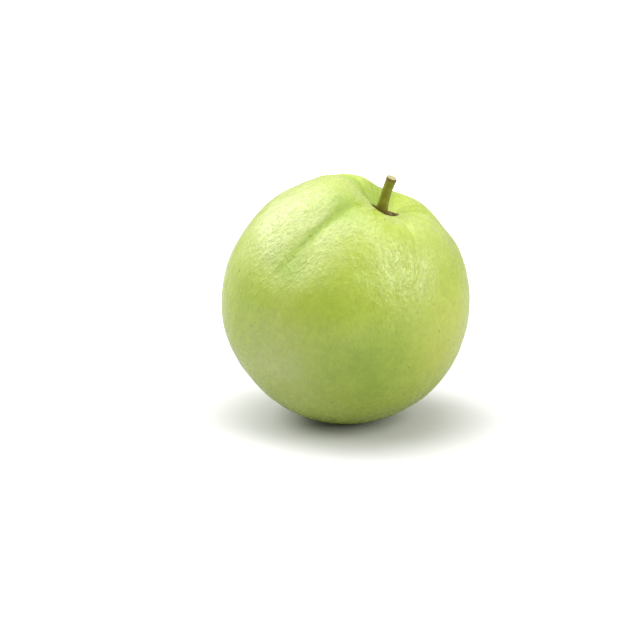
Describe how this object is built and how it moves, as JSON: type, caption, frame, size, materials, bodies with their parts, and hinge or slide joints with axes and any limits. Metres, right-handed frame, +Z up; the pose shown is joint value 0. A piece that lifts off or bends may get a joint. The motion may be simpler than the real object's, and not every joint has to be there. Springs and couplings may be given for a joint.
{
  "type": "fresh guava",
  "caption": "Whole fresh green guava, round and faintly ribbed, with a short cut stalk in its hollow and dried flower remains underneath.",
  "frame": {"origin": "middle of the small flat spot the fruit rests on, on the ground plane", "axes": "+Z up, +X to the right and -Y towards the front when the fruit is seen with its stalk leaning to the right and a little forwards"},
  "size_m": [0.0946, 0.0947, 0.0976],
  "materials": {
    "skin": "satin",
    "stalk": "matte",
    "dried_calyx": "matte"
  },
  "bodies": {
    "root": {"fruit": "skin", "stalk": "stalk", "calyx_lobe_1": "dried_calyx", "calyx_lobe_2": "dried_calyx", "calyx_lobe_3": "dried_calyx", "calyx_lobe_4": "dried_calyx", "calyx_lobe_5": "dried_calyx", "style": "dried_calyx"}
  },
  "joints": []
}
